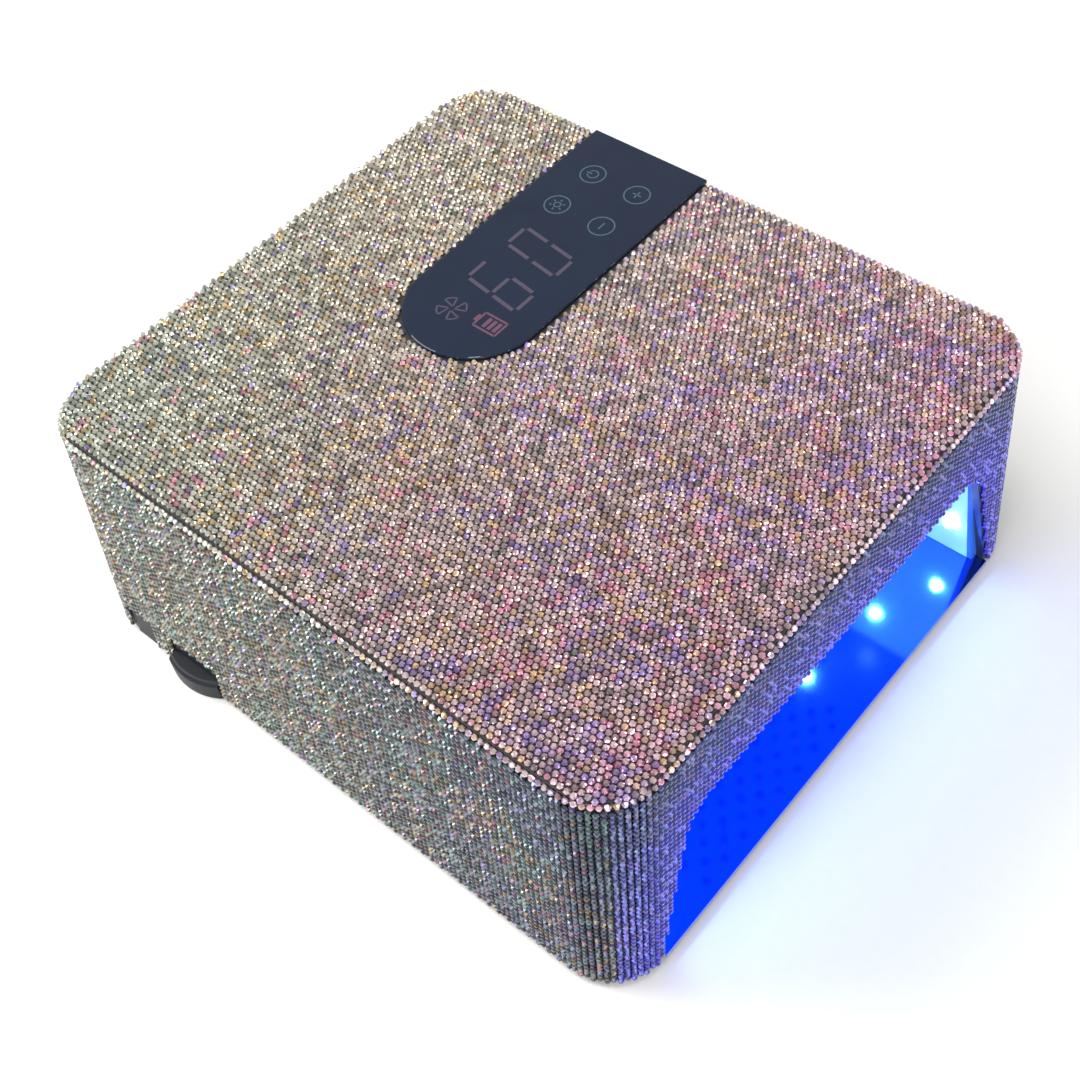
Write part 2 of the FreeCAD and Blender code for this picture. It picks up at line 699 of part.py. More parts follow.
tray_half = D.opening_base / 2 - 1.7
rail_inner = tray_half + D.slide_gap * 2
tray_rear = liner_outer_back + D.slide_gap * 2
chassis_rear = tray_rear + D.slide_gap * 2
chassis_front = trim_back + D.slide_gap - case_half(chassis_top)[1]
foot_x = D.case_width / 2 - D.foot_from_side
foot_y = D.case_depth / 2 - D.foot_from_end
magnet_spots = (-60, 60)


def chassis():
    """The frame that closes the case below, with ledges for the tray, and pockets for its magnets."""
    z = (D.foot_height, chassis_top)
    outline = case_block("chassis_outline", chassis_inset, z)
    front = -case_half(0)[1] - MARGIN
    tray_way = box("tray_way", (-rail_inner, rail_inner), (front, chassis_rear),
                   (D.foot_height + D.rail_thickness, chassis_top + MARGIN))
    floor_gap = rail_inner - D.rail_lip
    floor_way = box("floor_way", (-floor_gap, floor_gap), (front, chassis_rear - D.rail_lip),
                    (size(0), chassis_top + MARGIN))
    front_way = box("front_way", (-D.case_width, D.case_width), (front, chassis_front),
                    (size(0), chassis_top + MARGIN))
    pockets = [box(f"magnet_pocket_{number}", around(size(x), D.magnet_length + D.slide_gap * 2),
                   (chassis_rear - 1, chassis_rear + D.magnet_depth + D.slide_gap),
                   (tray_base, chassis_top + MARGIN))
               for number, x in enumerate(magnet_spots)]
    holes = []
    for number, (x, y) in enumerate(post_spots):
        holes.append(cylinder(f"chassis_hole_{number}", D.case_screw_radius + D.slide_gap, size(20), x, y, 0))
        holes.append(cylinder(f"chassis_sink_{number}", D.case_screw_radius * 2 + D.fit_gap,
                              D.foot_height + 2.2, x, y, 0))
    finish(cut("chassis_frame", outline, [tray_way, floor_way, front_way] + pockets + holes), "chassis_frame")
    magnets = [box(f"magnet_{number}", around(size(x), D.magnet_length),
                   (chassis_rear, chassis_rear + D.magnet_depth), (tray_base, chassis_top))
               for number, x in enumerate(magnet_spots)]
    finish(group("tray_magnets", magnets), "tray_magnets")
    feet = circles_body("rubber_feet", mirrored((-foot_x, foot_x), (-foot_y, foot_y)), D.foot_radius,
                        D.foot_height)
    finish(feet, "rubber_feet")


def base_tray():
    """The bright steel floor of the cavity, with a folded front edge."""
    front = -case_half(0)[1] + 0.3
    plate = slab("tray_plate", (-tray_half, tray_half), (front, tray_rear), (tray_base, tray_top))
    fold = box("tray_fold", (-tray_half, tray_half), (front, front + D.tray_thickness),
               (tray_base - D.tray_fold, tray_base + D.tray_thickness / 2))
    finish(fuse("base_tray", [plate, fold]), "base_tray")


# ---------------------------------------------------------------- liner, vent plate and fan

fan_y = -D.fan_back
fan_screw_spots = mirrored((-D.fan_hole_spacing / 2, D.fan_hole_spacing / 2),
                           (fan_y - D.fan_hole_spacing / 2, fan_y + D.fan_hole_spacing / 2))
vent_span = around(size(0), D.vent_length)
vent_depth = around(vent_middle, D.vent_width)


def reflector_liner():
    """The white inner shell of the hand cavity."""
    z = (liner_base_z, liner_roof)
    outer = cavity_block("liner_outer", D.liner_thickness, trim_back, liner_outer_back, z)
    inner = cavity_block("liner_inner", size(0), size(-MARGIN), D.liner_back, (size(0), D.liner_ceiling))
    tabs = []
    for number, (side, y) in enumerate(mirrored((-1, 1), (-100, 0, 50))):
        ends = sorted((side * 90, side * (rail_inner + D.liner_tab)), key=lambda end: size(end).number)
        tabs.append(box(f"liner_tab_{number}", (size(ends[0]), size(ends[1])), around(size(y), size(14)),
                        (chassis_top, chassis_top + D.liner_thickness)))
    window = box("vent_window", (vent_span[0] - D.slide_gap, vent_span[1] + D.slide_gap),
                 (vent_depth[0] - D.slide_gap, vent_depth[1] + D.slide_gap),
                 (D.liner_ceiling - 1, liner_roof + 1))
    solid = fuse("liner_solid", [outer] + tabs)
    finish(cut("reflector_liner", solid, [inner, window] + led_holes), "reflector_liner")


def vent_plate():
    """The perforated ceiling plate: two interleaved lattices of holes."""
    body = slab("vent_blank", vent_span, vent_depth, (D.liner_ceiling, liner_roof))
    columns = 8
    rows = 6
    first_x = -(columns - 0.5) / 2 * D.vent_pitch
    first_y = vent_middle - (rows - 0.5) * D.vent_row
    holes = new_sketch(body, "vent_holes", offset=liner_roof)
    draw_circle(holes, first_x, first_y, D.vent_hole)
    draw_circle(holes, first_x + D.vent_pitch / 2, first_y + D.vent_row, D.vent_hole)
    pocket = body.newObject("PartDesign::Pocket", "vent_pocket")
    pocket.Profile = holes
    bind(pocket, Length=D.liner_thickness)
    document.recompute()
    lattice = body.newObject("PartDesign::MultiTransform", "vent_lattice")
    lattice.Originals = [pocket]
    along = body.newObject("PartDesign::LinearPattern", "vent_columns")
    along.Direction = (origin_item(body, "X_Axis"), [""])
    along.Occurrences = columns
    bind(along, Length=D.vent_pitch * (columns - 1))
    across = body.newObject("PartDesign::LinearPattern", "vent_rows")
    across.Direction = (origin_item(body, "Y_Axis"), [""])
    across.Occurrences = rows
    bind(across, Length=D.vent_row * 2 * (rows - 1))
    lattice.Transformations = [along, across]
    body.Tip = lattice
    holes = [cylinder(f"vent_screw_hole_{number}", D.case_screw_radius + D.slide_gap / 2, size(10), x, y,
                      D.liner_ceiling - 1) for number, (x, y) in enumerate(fan_screw_spots)]
    finish(cut("vent_plate", body, holes), "vent_plate")


def fan():
    """A square axial fan on the vent plate: frame, rotor and screws."""
    frame_box = box("fan_box", around(size(0), D.fan_size), around(fan_y, D.fan_size), (liner_roof, fan_top))
    air_way = cylinder("fan_air_way", D.fan_bore, D.fan_height + 2, 0, fan_y, liner_roof - 1)
    seat_height = 1.6
    seat = cylinder("fan_seat", D.hub_radius, size(seat_height), 0, fan_y, liner_roof)
    spokes = [seat]
    for number in range(3):
        spoke = document.addObject("Part::Box", f"fan_spoke_{number}")
        bind(spoke, Length=D.fan_bore + 1, Width=3, Height=seat_height)
        spokes.append(place(spoke, 0, fan_y, liner_roof, yaw=30 + 120 * number))
    shaft_hole = cylinder("fan_shaft_hole", D.shaft_radius + D.slide_gap / 2, size(seat_height + 2), 0, fan_y,
                          liner_roof - 1)
    holes = [cylinder(f"fan_hole_{number}", D.case_screw_radius + D.slide_gap, D.fan_height + 2, x, y,
                      liner_roof - 1) for number, (x, y) in enumerate(fan_screw_spots)]
    ring = cut("fan_ring", frame_box, [air_way])
    finish(cut("fan_frame", fuse("fan_frame_solid", [ring] + spokes), [shaft_hole] + holes), "fan_frame")
    screws("fan_screws", fan_screw_spots, D.liner_ceiling + 0.4, fan_top, D.case_screw_radius, 1.6)

    body = new_body("fan_rotor")
    hub_base = seat_height + 0.6
    hub_height = D.fan_height - hub_base - 0.8
    shaft = new_sketch(body, "shaft_circle", offset=0.2)
    draw_circle(shaft, 0, 0, D.shaft_radius)
    pad(body, shaft, size(hub_base))
    hub = new_sketch(body, "hub_circle", offset=hub_base)
    draw_circle(hub, 0, 0, D.hub_radius)
    pad(body, hub, hub_height)
    blade = new_sketch(body, "blade_section", role="YZ_Plane", offset=D.hub_radius - 1)
    low = hub_base + 0.6
    high = hub_base + hub_height - 0.6
    draw_polygon(blade, [(-5, low), (-3.4, low), (5, high), (3.4, high)])
    first_blade = pad(body, blade, D.blade_tip - D.hub_radius + 1)
    document.recompute()
    wheel = body.newObject("PartDesign::PolarPattern", "blade_wheel")
    wheel.Originals = [first_blade]
    wheel.Axis = (origin_item(body, "Z_Axis"), [""])
    wheel.Angle = 360
    wheel.Occurrences = BLADES
    body.Tip = wheel
    finish(place(body, 0, fan_y, liner_roof), "fan_rotor")


# ---------------------------------------------------------------- electronics

def display_unit():
    """The board, digits, touch springs and screws under the panel."""
    plate = slab("display_plate", display_span, display_depth, (display_base, display_top))
    holes = [cylinder(f"display_hole_{number}", D.screw_radius + D.slide_gap, size(5), *spot, display_base - 2)
             for number, spot in enumerate(display_screw_spots)]
    finish(cut("display_board", plate, holes), "display_board")
    digits = slab("digit_module", digits_span, around(D.window_middle, D.digits_width),
                  (display_top, cover_top - D.slide_gap))
    finish(digits, "digit_module")
    springs = circles_body("touch_springs", key_spots, D.spring_radius, D.display_drop,
                           hole=D.spring_radius - D.spring_wire)
    finish(place(springs, z=display_top), "touch_springs")
    tip = display_top + 3
    screws("display_screws", display_screw_spots, tip, display_base, D.screw_radius, 1.4, head_below=True)


# Parts on the control board: x, y from its centre, length, width and height.
BOARD_PARTS = [
    (-60, 18, 14, 14, 8), (-40, 20, 12, 12, 6), (-18, 16, 9, 9, 2), (6, 16, 7, 5, 2), (36, 18, 16, 12, 9),
    (60, 20, 10, 16, 7), (-58, -16, 10, 6, 7), (-40, -18, 10, 6, 7), (-10, -16, 12, 12, 1.6), (60, -18, 8, 8, 6),
]
BOARD_CAPACITORS = [(-30, -4), (22, 2), (22, -14)]


def control_unit():
    """The control board on its standoffs, with what is soldered to it."""
    inset = 4
    x = D.main_board_length / 2 - inset
    y = D.main_board_width / 2 - inset
    spots = mirrored((-x, x), (D.main_board_y - y, D.main_board_y + y))
    plate = slab("main_board_plate", around(size(0), D.main_board_length),
                 around(D.main_board_y, D.main_board_width), (main_board_z, main_board_top))
    holes = [cylinder(f"board_hole_{number}", D.screw_radius + D.slide_gap, size(10), *spot, main_board_z - 2)
             for number, spot in enumerate(spots)]
    finish(cut("main_board", plate, holes), "main_board")
    standoffs = circles_body("board_standoffs", spots, size(3), D.standoff_height,
                             hole=D.screw_radius + D.slide_gap / 2)
    finish(place(standoffs, z=liner_roof), "board_standoffs")
    screws("board_screws", spots, main_board_z - 5, main_board_top, D.screw_radius, 1.4)
    parts = []
    for number, (part_x, part_y, length, width, height) in enumerate(BOARD_PARTS):
        parts.append(box(f"board_part_{number}", around(size(part_x), size(length)),
                         around(D.main_board_y + part_y, size(width)), (main_board_top, main_board_top + height)))
    for number, (part_x, part_y) in enumerate(BOARD_CAPACITORS):
        parts.append(cylinder(f"capacitor_{number}", size(4), size(9), part_x, D.main_board_y + part_y,
                              main_board_top))
    finish(group("main_board_parts", parts), "main_board_parts")
    buzzer = cut("buzzer_can", cylinder("buzzer_body", size(6), size(6), 40, D.main_board_y - 14, main_board_top),
                 [cylinder("buzzer_port", size(1.5), size(3), 40, D.main_board_y - 14, main_board_top + 4.5)])
    finish(buzzer, "buzzer")


def battery():
    """Six cells in a cradle behind the cavity, with their protection board."""
    pocket = D.cell_radius + D.slide_gap * 2
    back = liner_outer_back + D.board_thickness + D.fit_gap
    centre_y = back + D.holder_wall + pocket
    pitch_x = D.cell_length + D.cell_gap
    pitch_z = pocket * 2 + 1
    spots = []
    for column in (-1, 0, 1):
        for level in (0, 1):
            spots.append((column * pitch_x, chassis_top + D.holder_wall + pocket + level * pitch_z))
    top = chassis_top + D.holder_wall * 2 + pocket * 2 + pitch_z
    length = pitch_x * 3 + D.holder_wall
    block = box("holder_block", around(size(0), length), (back, centre_y), (chassis_top, top))
    pockets = []
    cells = []
    for number, (x, z) in enumerate(spots):
        pockets.append(cylinder(f"cell_pocket_{number}", pocket, D.cell_length + 0.8,
                                x - D.cell_length / 2 - 0.4, centre_y, z, pitch=90))
        cells.append(cylinder(f"cell_{number}", D.cell_radius, D.cell_length, x - D.cell_length / 2, centre_y, z,
                              pitch=90))
    finish(cut("battery_holder", block, pockets), "battery_holder")
    finish(group("battery_cells", cells), "battery_cells")
    board = slab("protection_board", (size(-30), size(30)), (back + 1, centre_y - 1),
                 (top, top + D.board_thickness))
    finish(board, "protection_board")


side_shell()
stone_skins()
top_cover()
front_trim()
finger_grips()
rear_fittings()
chassis()
base_tray()
case_screw_seat = D.foot_height + 2.2
screws("case_screws", post_spots, case_screw_seat + 18, case_screw_seat, D.case_screw_radius, 1.8,
       head_below=True)
reflector_liner()
vent_plate()
fan()
display_unit()
control_unit()
battery()
document.recompute()

faults = [item.Name for item in document.Objects if {"Invalid", "Error"} & set(item.State)]
for piece in pieces:
    if piece.Shape.isNull() or not piece.Shape.isValid() or not piece.Shape.Solids:
        faults.append(piece.Label)
if faults:
    raise RuntimeError("these objects failed: " + ", ".join(faults))

os.makedirs("parts", exist_ok=True)
for piece in pieces:
    piece.Shape.exportStep(f"parts/{piece.Label}.step")
print(len(pieces), "sub-parts written")
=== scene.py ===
import math

import bpy
import numpy as np
from mathutils import Matrix, Vector


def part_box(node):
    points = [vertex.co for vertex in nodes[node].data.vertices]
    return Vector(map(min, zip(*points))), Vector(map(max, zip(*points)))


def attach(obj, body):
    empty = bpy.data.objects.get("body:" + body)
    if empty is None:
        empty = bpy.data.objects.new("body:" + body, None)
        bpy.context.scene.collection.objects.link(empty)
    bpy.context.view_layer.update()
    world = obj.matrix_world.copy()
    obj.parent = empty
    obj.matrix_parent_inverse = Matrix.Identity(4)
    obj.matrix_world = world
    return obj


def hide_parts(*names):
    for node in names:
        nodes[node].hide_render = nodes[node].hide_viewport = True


# A stone-covered UV LED nail lamp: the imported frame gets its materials, the two stone skins become real
# stones, and the touch panel gets its glass, keys and digits. Metres, in the frame's own axes.

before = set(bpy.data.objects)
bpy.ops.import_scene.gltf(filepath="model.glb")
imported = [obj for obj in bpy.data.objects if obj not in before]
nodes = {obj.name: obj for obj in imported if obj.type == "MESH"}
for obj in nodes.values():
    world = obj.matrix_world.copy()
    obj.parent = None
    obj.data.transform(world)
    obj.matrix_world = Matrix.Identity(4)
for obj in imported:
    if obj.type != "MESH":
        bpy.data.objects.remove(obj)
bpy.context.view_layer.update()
rng = np.random.default_rng(7)

MM = 0.001

# ---------------------------------------------------------------- measures read from the frame

side_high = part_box("side_stone_sheet")[1]
top_low, top_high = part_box("top_stone_sheet")
window_low, window_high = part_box("display_window")
grip_low, grip_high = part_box("left_finger_grip")
grille_low, grille_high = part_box("rear_vent_grille")
socket_low, socket_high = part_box("dc_socket")

TOP_HALF = Vector((top_high.x, top_high.y))      # half the outline at the cover
BASE_HALF = Vector((side_high.x, side_high.y))   # half the outline at the lower edge of the wall
WALL_BASE = 2 * MM
WALL_TOP = 104 * MM
CORNER = 22 * MM              # radius of the case's upright corners
GRIP_BRIDGE = (86 * MM, 98 * MM)    # strip of wall between a grip's two pads
GRILLE_HALF = 42 * MM         # half its length
SOCKET_RADIUS = 4.85 * MM     # hole in the rear wall
OPENING_BASE = 101 * MM       # half the opening's width at the table
OPENING_TOP = 81.5 * MM       # half its width at the top
OPENING_HEIGHT = 70.4 * MM
OPENING_CORNER = 6 * MM       # radius of its upper corners

# ---------------------------------------------------------------- stones

PITCH = 2.35 * MM        # one stone to the next along a row
ROW = 2.12 * MM          # one row to the next
STONE_RADIUS = 1.17 * MM
TABLE_SHARE = 0.52       # table width over girdle width
STONE_SIDES = 6
GIRDLE = 0.5 * MM        # height of the girdle above the film
CROWN = 1.32 * MM        # height of the table above the film
TILT = math.radians(5)   # twice the spread of the stones' lean
CLEAR = STONE_RADIUS * 0.9    # stones keep this far from the edges of holes
GLUE = 0.1 * MM          # gap that keeps the tables inside the CAD skin
JITTER = 0.05 * MM       # unevenness of the rows
EDGE_ROW = 1.25 * MM     # the row on the cover's edge, above its lower edge


def stone_field(name, centres, normals, tangents, tints, body, sheet_node):
    """One mesh of faceted stones: a six-sided girdle, six crown facets and a table each."""
    count = len(centres)
    normals = normals + np.tan(TILT) * rng.normal(0, 0.5, (count, 3))
    normals /= np.linalg.norm(normals, axis=1, keepdims=True)
    tangents = tangents - normals * np.sum(tangents * normals, axis=1, keepdims=True)
    tangents /= np.linalg.norm(tangents, axis=1, keepdims=True)
    sideways = np.cross(normals, tangents)
    turns = rng.uniform(0, 2 * math.pi, count)
    radii = STONE_RADIUS * rng.uniform(0.95, 1.03, count)
    rings = []
    for height, share in ((0, 0.96), (GIRDLE, 1.0), (CROWN, TABLE_SHARE)):
        for side in range(STONE_SIDES):
            angle = turns + 2 * math.pi * side / STONE_SIDES
            reach = (radii * share)[:, None]
            spoke = tangents * np.cos(angle)[:, None] + sideways * np.sin(angle)[:, None]
            rings.append(centres + spoke * reach + normals * height)
    points = np.stack(rings, axis=1)
    per_stone = points.shape[1]
    faces = []
    for side in range(STONE_SIDES):
        after = (side + 1) % STONE_SIDES
        for ring in (0, 1):
            low = ring * STONE_SIDES
            high = low + STONE_SIDES
            faces.append((low + side, low + after, high + after, high + side))
    table = tuple(2 * STONE_SIDES + side for side in range(STONE_SIDES))
    base = np.arange(count)[:, None] * per_stone
    quads = (base[:, :, None] + np.array(faces)[None, :, :]).reshape(-1, 4)
    tables = base + np.array(table)[None, :]

    mesh = bpy.data.meshes.new(name)
    mesh.from_pydata(points.reshape(-1, 3).tolist(), [], quads.tolist() + tables.tolist())
    mesh.update()
    layer = mesh.color_attributes.new("stone_tint", "FLOAT_COLOR", "POINT")
    colours = np.repeat(np.c_[tints, np.ones(count)], per_stone, axis=0)
    layer.data.foreach_set("color", colours.astype(np.float32).ravel())
    piece = bpy.data.objects.new(name, mesh)
    bpy.context.scene.collection.objects.link(piece)
    mesh.materials.append(materials["stones"])
    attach(piece, body)
    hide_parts(sheet_node)


def smooth_noise(points, scale, seed):
    """A soft random field between 0 and 1, from a few sine waves."""
    waves = np.random.default_rng(seed)
    total = np.zeros(len(points))
    for _ in range(9):
        direction = waves.normal(size=3)
        direction /= np.linalg.norm(direction)
        total += np.sin(points @ direction * (2 * math.pi / scale) * waves.uniform(0.6, 1.7)
                        + waves.uniform(0, 2 * math.pi))
    return 0.5 + total / 9


def mixed(first, second, share):
    share = np.clip(share, 0, 1)[:, None]
    return first * (1 - share) + second * share


CHAMPAGNE = np.array((0.68, 0.62, 0.52))        # cover, towards the back
DUSTY_ROSE = np.array((0.72, 0.54, 0.58))       # cover, towards the front
SILVER_GREEN = np.array((0.60, 0.64, 0.55))     # cover's back left corner
# The wall stones' grey-green: the cover's stones darkened as painted shade of the upright walls.
SHADED_WALL_GREY = np.array((0.20, 0.185, 0.135))
# Towards the front the wall stones turn a darker blue: painted shade with painted blue light.
FRONT_WALL_SHADE_BLUE = np.array((0.09, 0.11, 0.16))
TEAL = np.array((0.12, 0.21, 0.18))
PINK = np.array((0.86, 0.30, 0.46))
VIOLET = np.array((0.36, 0.27, 0.74))
AMBER = np.array((0.82, 0.55, 0.24))
GLOW_BLUE = np.array((0.10, 0.08, 0.78))
FRONT_TINT_AND_SHADE_START = 85 * MM     # the front tint begins here and is full the depth below further to the front; on the walls it is painted shade
FRONT_TINT_AND_SHADE_DEPTH = 200 * MM
GREEN_START = 60 * MM     # the same for the silver green, towards the back left
GREEN_DEPTH = 150 * MM
PATCH = 42 * MM           # size of the patches where an accent gathers


def stone_tints(points, base, front_tint_and_shade, accents):
    """Each stone's colour: the base turns into a front tint towards the front, with accents among them. On
    the walls that tint is painted shade with painted blue light.
    """
    front = np.clip((FRONT_TINT_AND_SHADE_START - points[:, 1]) / FRONT_TINT_AND_SHADE_DEPTH, 0, 1)
    left_back = np.clip((points[:, 1] - points[:, 0] - GREEN_START) / GREEN_DEPTH, 0, 1)
    tint = mixed(np.tile(base, (len(points), 1)), front_tint_and_shade, front)
    tint = mixed(tint, SILVER_GREEN * base.sum() / CHAMPAGNE.sum(), left_back * 0.8)
    pick = rng.uniform(0, 1, len(points))
    for number, (colour, least, most, towards_front) in enumerate(accents):
        soft = np.clip(smooth_noise(points, PATCH, 3 + number) * 2 - 0.55, 0, 1)
        place = front if towards_front else 1
        chance = least + (most - least) * soft * place
        chosen = pick < chance
        pick = np.where(chosen, 2.0, pick - chance)
        tint = mixed(tint, colour, chosen * rng.uniform(0.3, 0.7, len(points)))
    tint = tint * rng.uniform(0.6, 1.4, (len(points), 1))
    return np.clip(tint, 0.01, 1)


# Colour, least and most share of stones, and whether it grows towards the front.
COVER_ACCENTS = [(PINK, 0.03, 0.34, True), (VIOLET, 0.03, 0.40, True), (AMBER, 0.05, 0.22, False),
                 (TEAL, 0.01, 0.05, False)]
# The wall accents are darkened the same way, as painted shade.
SHADED_WALL_ACCENTS = [(TEAL, 0.05, 0.50, False), (AMBER * 0.35, 0.04, 0.32, False),
                (PINK * 0.35, 0.02, 0.12, False), (VIOLET * 0.4, 0.02, 0.12, False)]


def lattice(low, high, step, across_step):
    """Rows along the first axis, every other one shifted by half a step."""
    found = []
    across = np.arange(low[1], high[1], across_step)
    for number, value in enumerate(across):
        along = np.arange(low[0] + (step / 2) * (number % 2), high[0], step)
        found.append(np.c_[along, np.full(len(along), value)])
    return np.concatenate(found)


def inside_outline(x, y, half_x, half_y, radius):
    """True inside a rectangle with round corners."""
    beyond_x = np.maximum(np.abs(x) - (half_x - radius), 0)
    beyond_y = np.maximum(np.abs(y) - (half_y - radius), 0)
    in_box = (np.abs(x) <= half_x) & (np.abs(y) <= half_y)
    return in_box & (np.hypot(beyond_x, beyond_y) <= radius)


def ring_path(half_x, half_y, radius, step):
    """Places round a rectangle with round corners: points, outward normals and path direction."""
    straights = [((half_x, -half_y + radius), (0, 1)), ((half_x - radius, half_y), (-1, 0)),
                 ((-half_x, half_y - radius), (0, -1)), ((-half_x + radius, -half_y), (1, 0))]
    lengths = [2 * (half_y - radius), 2 * (half_x - radius)] * 2
    arc = radius * math.pi / 2
    total = sum(lengths) + 4 * arc
    count = round(total / step)
    places = []
    for distance in np.arange(count) * total / count:
        for side in range(4):
            (x, y), (dx, dy) = straights[side]
            if distance < lengths[side]:
                places.append((x + dx * distance, y + dy * distance, dy, -dx, dx, dy))
                break
            distance -= lengths[side]
            if distance < arc:
                turn = distance / radius
                end = np.array((x + dx * lengths[side], y + dy * lengths[side]))
                outward = np.array((dy, -dx), float)
                along = np.array((dx, dy), float)
                centre = end - outward * radius
                normal = outward * math.cos(turn) + along * math.sin(turn)
                heading = along * math.cos(turn) - outward * math.sin(turn)
                spot = centre + normal * radius
                places.append((spot[0], spot[1], normal[0], normal[1], heading[0], heading[1]))
                break
            distance -= arc
    return np.array(places)


def top_stones():
    """Staggered rows from front to back on the cover, round the panel, and one row on the cover's edge."""
    edge = STONE_RADIUS * 0.95
    half = TOP_HALF - Vector((edge, edge))
    spots = lattice((-half.y, -half.x), (half.y, half.x), PITCH, ROW)
    y, x = spots[:, 0], spots[:, 1]
    keep = inside_outline(x, y, half.x, half.y, CORNER - edge)
    half_window = (window_high.y - window_low.y) / 2
    middle_y = (window_high.y + window_low.y) / 2
    round_x = window_low.x + half_window
    reach = half_window + CLEAR
    in_window = (np.abs(y - middle_y) < reach) & (x > round_x)
    in_round_end = np.hypot(x - round_x, y - middle_y) < reach
    keep &= ~(in_window | in_round_end)
    spots = spots[keep]
    jitter = rng.normal(0, JITTER, (len(spots), 2))
    film = np.full(len(spots), top_high.z - CROWN - GLUE)
    flat = np.c_[spots[:, 1] + jitter[:, 0], spots[:, 0] + jitter[:, 1], film]
    up = np.tile((0.0, 0.0, 1.0), (len(flat), 1))
    forward = np.tile((0.0, 1.0, 0.0), (len(flat), 1))
    tints = stone_tints(flat, CHAMPAGNE, DUSTY_ROSE, COVER_ACCENTS)
    for part, chosen in (("front", flat[:, 1] < 0), ("back", flat[:, 1] >= 0)):
        stone_field(f"{part}_cover_stones", flat[chosen], up[chosen], forward[chosen], tints[chosen], "lamp",
                    "top_stone_sheet")

    places = ring_path(TOP_HALF.x - CROWN, TOP_HALF.y - CROWN, CORNER - CROWN, PITCH)
    centres = np.c_[places[:, :2], np.full(len(places), top_low.z + EDGE_ROW)]
    outward = np.c_[places[:, 2:4], np.zeros(len(places))]
    heading = np.c_[places[:, 4:6], np.zeros(len(places))]
    tints = stone_tints(centres, CHAMPAGNE, DUSTY_ROSE, COVER_ACCENTS)
    stone_field("cover_edge_stones", centres, outward, heading, tints, "lamp", "top_stone_sheet")


DIAGONAL = 0.71           # share of a normal past which a wall stone belongs to a side
GLOW_REACH = 45 * MM      # how far the cavity's light reaches over the front wall


